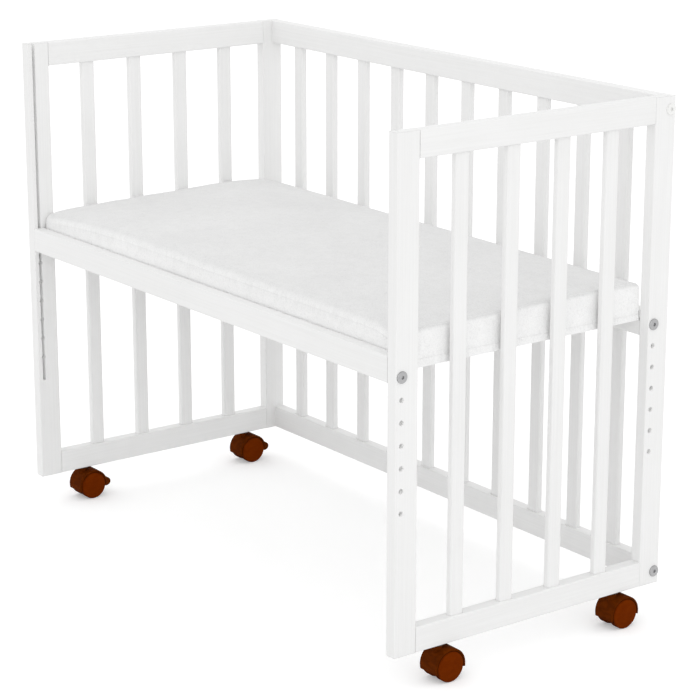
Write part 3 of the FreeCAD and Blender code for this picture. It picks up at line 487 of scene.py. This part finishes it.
def roundedBlock(name, low, high):
    # A closed grid around a box, with its edges and corners rounded.
    firm, loose = mattress["sideEdges"], mattress["slackCorner"]
    radii = ((loose[0], firm[0]), (loose[1], firm[1]), (mattress["lowerHeight"], loose[2]))
    lines = [gridLines(low[axis], high[axis], radii[axis]) for axis in range(3)]
    counts = [len(line) - 1 for line in lines]
    mesh = bmesh.new()
    points = {}
    ends = []

    def corner(index):
        if index not in points:
            raw = Vector(lines[axis][index[axis]] for axis in range(3))
            size, slack = edgeSize(raw, low, high)
            core = Vector(clamp(raw[axis], low[axis] + size[axis], high[axis] - size[axis])
                          for axis in range(3))
            step = Vector((raw[axis] - core[axis]) / size[axis] for axis in range(3))
            power = mattress["squareness"] + (2 - mattress["squareness"]) * slack * abs(step.z)
            across = (abs(step.x) ** power + abs(step.y) ** power) ** (1 / power)
            points[index] = mesh.verts.new(core + step * size / math.hypot(across, step.z))
            if index[0] in (0, counts[0]):
                ends.append(len(points) - 1)
        return points[index]

    for axis in range(3):
        first, second = (axis + 1) % 3, (axis + 2) % 3
        for side in (0, counts[axis]):
            for i in range(counts[first]):
                for j in range(counts[second]):
                    ring = []
                    for di, dj in ((0, 0), (1, 0), (1, 1), (0, 1)):
                        index = [0, 0, 0]
                        index[axis], index[first], index[second] = side, i + di, j + dj
                        ring.append(corner(tuple(index)))
                    mesh.faces.new(ring if side else ring[::-1])
    item = linkMesh(name, mesh)
    item.vertex_groups.new(name="ends").add(ends, 1.0, "REPLACE")
    return item


def applyModifiers(item):
    bpy.context.view_layer.update()
    evaluated = item.evaluated_get(bpy.context.evaluated_depsgraph_get())
    data = bpy.data.meshes.new_from_object(evaluated)
    item.modifiers.clear()
    item.data = data


def inflate(item):
    # Cloth with inner pressure and no gravity; then no point may be further than the cap.
    start = [vertex.co.copy() for vertex in item.data.vertices]
    cloth = item.modifiers.new("cover", "CLOTH")
    cloth.settings.quality = mattress["clothQuality"]
    cloth.settings.mass = mattress["clothMass"]
    cloth.settings.tension_stiffness = mattress["stretchStiffness"]
    cloth.settings.compression_stiffness = mattress["stretchStiffness"]
    cloth.settings.bending_stiffness = mattress["bendStiffness"]
    cloth.settings.use_pressure = True
    cloth.settings.uniform_pressure_force = mattress["pressure"]
    cloth.settings.effector_weights.gravity = 0
    cloth.point_cache.frame_start = 1
    cloth.point_cache.frame_end = mattress["frames"]
    for number in range(1, mattress["frames"] + 1):
        bpy.context.scene.frame_set(number)
    applyModifiers(item)
    bpy.context.scene.frame_set(1)
    for vertex, before in zip(item.data.vertices, start):
        move = vertex.co - before
        if move.length > mattress["cap"]:
            vertex.co = before + move.normalized() * mattress["cap"]


def sag(point, low, high):
    # How far the top has sunk at this place.
    size = high - low
    forward = clamp((high.y - point.y) / size.y, 0, 1)
    left = math.exp(-((point.x - low.x) / mattress["slackReach"]) ** 2)
    right = math.exp(-((high.x - point.x) / mattress["rightReach"]) ** 2)
    back = math.exp(-((high.y - point.y) / mattress["backReach"]) ** 2)
    near, far = mattress["rightDroop"]
    return (mattress["leftSlack"] * forward * left + mattress["backDroop"] * back * (1 - right)
            + (far + (near - far) * forward) * right)


def uneven(point, scale):
    # Smooth noise between about -1 and 1 over the top.
    across, along, layer = scale
    return noise.noise(Vector((point.x * across, point.y * along, layer)))


def wrinkle(point, inFromEnd):
    # Waves and ripples all over the top, creases along its ends.
    crease = 1 - abs(uneven(point, mattress["creases"])) * mattress["creaseSharpness"]
    edge = inFromEnd / mattress["foldReach"]
    fold = mattress["foldDepth"] * clamp(crease, 0, 1)
    return (mattress["waveHeight"] * uneven(point, mattress["waves"])
            + mattress["rippleHeight"] * uneven(point, mattress["ripples"])
            - fold * math.exp(-(edge - mattress["foldPeak"]) ** 2))


def settle(item, low, high):
    # Stretch the cover over the foam, crown and wrinkle its top, let corners droop, lay it flat.
    middle = (low + high) / 2
    half = (high - low) / 2 + Vector((mattress["swell"], mattress["swell"], 0))
    reach = [max(abs(vertex.co[axis] - middle[axis]) for vertex in item.data.vertices)
             for axis in range(2)]
    restRange = mattress["freeHeight"] - mattress["flatHeight"]
    for vertex in item.data.vertices:
        point = vertex.co
        share = [(point[axis] - middle[axis]) / reach[axis] for axis in range(2)]

        # The sides draw in, but not the front where it lies against its rail.
        free = 1 - fade((point.z - low.z - mattress["flatHeight"]) / restRange)
        for axis in range(2):
            drawn = mattress["pullIn"] * (1 - share[1 - axis] ** 2) * share[axis] ** 8
            if axis == 1 and share[1] <= 0:
                drawn *= free
            point[axis] = middle[axis] + share[axis] * (half[axis] - drawn)

        inwards = [half[axis] - abs(point[axis] - middle[axis]) for axis in range(2)]
        upper = clamp((point.z - low.z) / (high.z - low.z), 0, 1)
        rise = mattress["crown"] * (1 - share[0] ** 4) * (1 - share[1] ** 4)
        away = math.hypot(*inwards)
        droop = mattress["cornerDroop"] * math.exp(-(away / mattress["droopReach"]) ** 2)
        droop += sag(point, low, high)
        point.z += upper ** 2 * (rise - droop + wrinkle(point, inwards[0]))
        point.z = max(point.z, low.z - mattress["sink"])

        # The border of either end hangs a little over the end of the board.
        weight = sum(group.weight for group in vertex.groups)
        weight *= fade((point.z - low.z) / mattress["hemHeight"])
        near, far = mattress["hem"]
        point.z -= (near + (far - near) * clamp((share[1] + 1) / 2, 0, 1)) * weight
        end = middle.x + math.copysign(half.x - mattress["hemTuck"], share[0])
        point.x += (end - point.x) * min(1, mattress["hemPull"] * weight)
    item.vertex_groups.clear()


def perimeter(low, high, step):
    # Points and outward directions round the four sides, corners cut at 45 degrees.
    middle = (low + high) / 2
    half = (high - low) / 2
    cut = mattress["cornerCut"]
    turns = [(half.x, -half.y + cut), (half.x, half.y - cut), (half.x - cut, half.y),
             (-half.x + cut, half.y), (-half.x, half.y - cut), (-half.x, -half.y + cut),
             (-half.x + cut, -half.y), (half.x - cut, -half.y)]
    for number, start in enumerate(turns):
        end = turns[(number + 1) % len(turns)]
        along = Vector((end[0] - start[0], end[1] - start[1], 0))
        out = Vector((along.y, -along.x, 0)).normalized()
        count = max(3, round(along.length / step))
        for share in range(count):
            yield Vector((middle.x + start[0], middle.y + start[1], 0)) + along * share / count, out


def surfaceOf(item):
    return BVHTree.FromPolygons([vertex.co for vertex in item.data.vertices],
                                [polygon.vertices for polygon in item.data.polygons])


def seamLevel(tree, point, out, low, high, drops):
    # The lower seam keeps its height; the upper one follows the top, lower at the front.
    if drops is None:
        return low.z + mattress["lowerSeam"]
    above = Vector((point.x, point.y, high.z + mattress["rayReach"]))
    top = tree.ray_cast(above - out * mattress["seamInset"], Vector((0, 0, -1)))[0]
    front = fade((point.y - low.y) / mattress["edgeReach"])
    return (top.z if top else high.z) - drops[0] - (drops[1] - drops[0]) * front


def seamRing(tree, low, high, drops):
    # Where a seam runs round the cover: places, outward directions and every second stitch.
    ring = []
    reach = mattress["rayReach"]
    for number, (point, out) in enumerate(perimeter(low, high, mattress["stitchPitch"] / 2)):
        point.z = seamLevel(tree, point, out, low, high, drops)
        hit = tree.ray_cast(point + out * reach, -out, 2 * reach)[0]
        ring.append((hit if hit else point, out, number % 2))
    return ring


def sewIn(item, rings, low):
    # The cover is drawn in along its seams; "seamNear" tells the material where that is.
    places = [place for ring in rings for place, out, pinched in ring]
    finder = KDTree(len(places))
    for number, place in enumerate(places):
        finder.insert(place, number)
    finder.balance()
    near = []
    inwards = [-vertex.normal for vertex in item.data.vertices]    # all before any point moves
    for vertex, inward in zip(item.data.vertices, inwards):
        distance = finder.find(vertex.co)[2]
        near.append(fade(distance / mattress["puckerReach"]))
        front = fade((vertex.co.y - low.y) / mattress["edgeReach"])
        depth = mattress["pinch"] * fade(distance / mattress["pinchReach"])
        vertex.co += inward * depth * (1 - mattress["frontLoose"] * front)
    item.data.attributes.new("seamNear", "FLOAT", "POINT").data.foreach_set("value", near)


def makeSeam(name, ring):
    # A thin sewn ridge that lies on the cover, pinched at every stitch.
    mesh = bmesh.new()
    sides = mattress["seamSides"]
    angles = [2 * math.pi / sides * part for part in range(sides)]
    rings = []
    for place, out, pinched in ring:
        size = mattress["seamRadius"] * (mattress["stitchShare"] if pinched else 1.0)
        rings.append([mesh.verts.new(place + out * size * math.cos(angle)
                                     + Vector((0, 0, size * math.sin(angle))))
                      for angle in angles])
    for number, ringNow in enumerate(rings):
        ringNext = rings[(number + 1) % len(rings)]
        for part in range(sides):
            following = (part + 1) % sides
            mesh.faces.new((ringNow[part], ringNext[part], ringNext[following],
                            ringNow[following]))
    return linkMesh(name, mesh)


# The cover's knitted terry: small uneven loops, the nap lying differently here and there.
fabric = {
    "colour": (0.925, 0.925, 0.923),
    "loopGapPaintedShade": (0.870, 0.870, 0.868),       # painted shade between the loops
    "topPaintedShade": 0.850,                     # painted shade: faces turned upward are greyer than the upright border
    "napShade": 0.960,
    "washShade": 0.950,
    "speckShade": 0.950,
    # painted shade in the puckers' folds
    "puckerPaintedShade": 0.955,
    "roughness": (0.88, 1.0),
    "loopSize": 560.0,                     # this and the other sizes are counts per metre
    "tuftSize": 207.2,
    "fuzzSize": 2600.0,
    "napSize": 60.0,
    "washSize": 8.0,
    "speckSize": 260.0,
    "bendSize": 170.0,                     # the rows of loops wander
    "bendReach": 0.002,
    "puckers": (240.0, 240.0, 25),         # folds per metre along X, Y and Z
    "puckerRelief": (0.0016, 0.80),
    "napRelief": (0.0006, 0.40),
    "tuftRelief": (0.0006, 0.40),
    "loopRelief": (0.0005, 0.60),
    "fuzzRelief": (0.0002, 0.45),
}


def makeTerry(name):
    shading = Shading(name)
    bend = shading.add("TexNoise", Vector=shading.where, Scale=fabric["bendSize"], Detail=2.0)
    drift = shading.vector("MULTIPLY", bend.outputs[1], grey(fabric["bendReach"]))
    bent = shading.vector("ADD", shading.where, drift)
    loops, tufts = (shading.add("TexVoronoi", Vector=bent, Scale=fabric[size]).outputs["Distance"]
                    for size in ("loopSize", "tuftSize"))
    fuzz = shading.noise(shading.where, fabric["fuzzSize"], 3.0, 0.7)
    nap = shading.noise(shading.where, fabric["napSize"], 5.0, 0.62, 0.3)
    broad = shading.noise(shading.where, fabric["washSize"], 2.0, 0.5)
    specks = shading.noise(shading.where, fabric["speckSize"], 1.0, 0.5)
    facing = shading.add("SeparateXYZ", Vector=shading.add("TexCoord").outputs["Normal"])
    # Painted shade between the loops.
    colour = shading.blend(shading.ramp(loops, 0.35, 0.85, grey(1), grey(0)),
                           fabric["loopGapPaintedShade"], fabric["colour"])
    # The last tint is painted shade: faces turned upward are darker.
    for tint in (shading.ramp(nap, 0.30, 0.60, grey(fabric["napShade"])),
                 shading.ramp(broad, 0.3, 0.7, grey(fabric["washShade"])),
                 shading.ramp(specks, 0.63, 0.72, grey(1), grey(fabric["speckShade"])),
                 shading.ramp(facing.outputs[2], 0.12, 0.72, grey(1), grey(fabric["topPaintedShade"]))):
        colour = shading.tinted(colour, tint)

    # Puckers run away from the seams and fade with the distance from them; painted shade darkens
    # their folds.
    near = shading.add("Attribute")
    near.attribute_name = "seamNear"
    folds = shading.noise(shading.scaled(fabric["puckers"]), 1.0, 2.0)
    shadow = shading.ramp(folds, 0.40, 0.60, grey(fabric["puckerPaintedShade"]))
    colour = shading.blend(near.outputs["Fac"], colour, shading.tinted(colour, shadow))
    layers = ((shading.math("MULTIPLY", folds, near.outputs["Fac"]), *fabric["puckerRelief"]),
              (nap, *fabric["napRelief"]),
              (shading.math("SUBTRACT", 1.0, tufts), *fabric["tuftRelief"]),
              (shading.math("SUBTRACT", 1.0, loops), *fabric["loopRelief"]),
              (fuzz, *fabric["fuzzRelief"]))
    return shading.finish(Base_Color=colour,
                          Roughness=shading.between(fuzz, *fabric["roughness"]),
                          Sheen_Weight=0.25, Sheen_Roughness=0.6, Specular_IOR_Level=0.12,
                          Normal=shading.relief(layers))


def buildMattress():
    low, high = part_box("mattress")
    inset = Vector((mattress["inset"],) * 3)
    foot = low + Vector((inset.x, inset.y, mattress["lift"]))
    body = roundedBlock("mattressCover", foot, high - inset)
    inflate(body)
    body.modifiers.new("divide", "SUBSURF").levels = 1
    applyModifiers(body)
    settle(body, low, high)
    seams = {"mattressUpperSeam": (mattress["seamDrop"], mattress["frontSeamDrop"]),
             "mattressLowerSeam": None}
    tree = surfaceOf(body)
    sewIn(body, [seamRing(tree, low, high, drops) for drops in seams.values()], low)
    tree = surfaceOf(body)
    terry = makeTerry("whiteTerry")
    body.data.materials.clear()
    body.data.materials.append(terry)
    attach(body, "base")
    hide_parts("mattress")
    for name, drops in seams.items():
        seam = makeSeam(name, seamRing(tree, low, high, drops))
        seam.data.materials.append(terry)
        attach(seam, "base")


buildMattress()
print("mattress made")


# Plain pale floor, even soft light and the photograph's viewpoint.
studio = {
    "skyLight": 1.035,                     # an even white tent all round
    "lamps": {                             # place, width across and watts of two softboxes
        "keyLamp": ((5.0, -4.6, 3.4), 4.5, 36.0),
        "endLamp": ((5.6, -0.9, 1.9), 3.4, 13.0),
    },
    "lampAim": (0.0, 0.0, 0.4),
    "floorGrey": 0.86,
    "floorHaze": 0.003,                    # faint darker clouds, and how many per metre
    "hazeSize": 3.0,
    "floorGlow": 0.26,                     # lifts the floor to white where the camera sees it
    "floorSize": 60.0,
}


def seenDirectly(tree):
    # 1 for camera, glossy and transmitted rays, 0 for those that light the object.
    path = tree.nodes.new("ShaderNodeLightPath")
    total = path.outputs["Is Camera Ray"]
    for name in ("Is Glossy Ray", "Is Transmission Ray"):
        node = tree.nodes.new("ShaderNodeMath")
        node.operation = "ADD"
        node.use_clamp = True
        tree.links.new(total, node.inputs[0])
        tree.links.new(path.outputs[name], node.inputs[1])
        total = node.outputs[0]
    return total


def buildFloor():
    mesh = bmesh.new()
    bmesh.ops.create_grid(mesh, x_segments=2, y_segments=2, size=studio["floorSize"] / 2)
    floor = linkMesh("floor", mesh)
    shading = Shading("floorWhite")
    haze = shading.noise(shading.where, studio["hazeSize"], 2.0, 0.5)
    tone = shading.ramp(haze, 0.3, 0.7, grey(studio["floorGrey"] - studio["floorHaze"]),
                        grey(studio["floorGrey"]))
    shading.finish(Base_Color=tone, Roughness=0.9, Specular_IOR_Level=0.0)
    glow = shading.add("Emission")
    shading.feed(glow.inputs["Strength"],
                 shading.math("MULTIPLY", seenDirectly(shading.tree), studio["floorGlow"]))
    glowing = shading.add("AddShader")
    shading.feed(glowing.inputs[0], shading.shader.outputs[0])
    shading.feed(glowing.inputs[1], glow.outputs[0])
    shading.feed(shading.output.inputs["Surface"], glowing.outputs[0])
    floor.data.materials.append(shading.material)


def buildWorld():
    world = bpy.data.worlds.new("studioWorld")
    bpy.context.scene.world = world
    world.use_nodes = True
    tree = world.node_tree
    background = tree.nodes["Background"]
    choose = tree.nodes.new("ShaderNodeMix")
    choose.inputs["A"].default_value = studio["skyLight"]
    choose.inputs["B"].default_value = 1.0
    tree.links.new(seenDirectly(tree), choose.inputs["Factor"])
    tree.links.new(choose.outputs["Result"], background.inputs["Strength"])
    background.inputs["Color"].default_value = (1, 1, 1, 1)


def buildLamps():
    for name, (place, width, watts) in studio["lamps"].items():
        data = bpy.data.lights.new(name, "AREA")
        data.shape = "DISK"
        data.size = width
        data.energy = watts
        lamp = bpy.data.objects.new(name, data)
        bpy.context.scene.collection.objects.link(lamp)
        aim = Vector(studio["lampAim"]) - Vector(place)
        lamp.location = place
        lamp.rotation_euler = aim.to_track_quat("-Z", "Y").to_euler()


view = {
    "place": (2.742921, -1.998870, 1.276075),
    "turn": (1.2978054, -0.0012400, 0.9315654),         # radians about X, Y and Z
    "lens": 122.239,                                    # on a sensor 36 mm wide
    "sensor": 36.0,
    "clip": (0.05, 100.0),
}


def buildCamera():
    data = bpy.data.cameras.new("photoView")
    data.sensor_width = view["sensor"]
    data.sensor_fit = "HORIZONTAL"
    data.lens = view["lens"]
    data.clip_start, data.clip_end = view["clip"]
    camera = bpy.data.objects.new("photoView", data)
    bpy.context.scene.collection.objects.link(camera)
    camera.location = view["place"]
    camera.rotation_euler = view["turn"]
    bpy.context.scene.camera = camera


buildFloor()
buildWorld()
buildLamps()
buildCamera()
bpy.context.scene.view_settings.view_transform = "Standard"
print("studio lit")
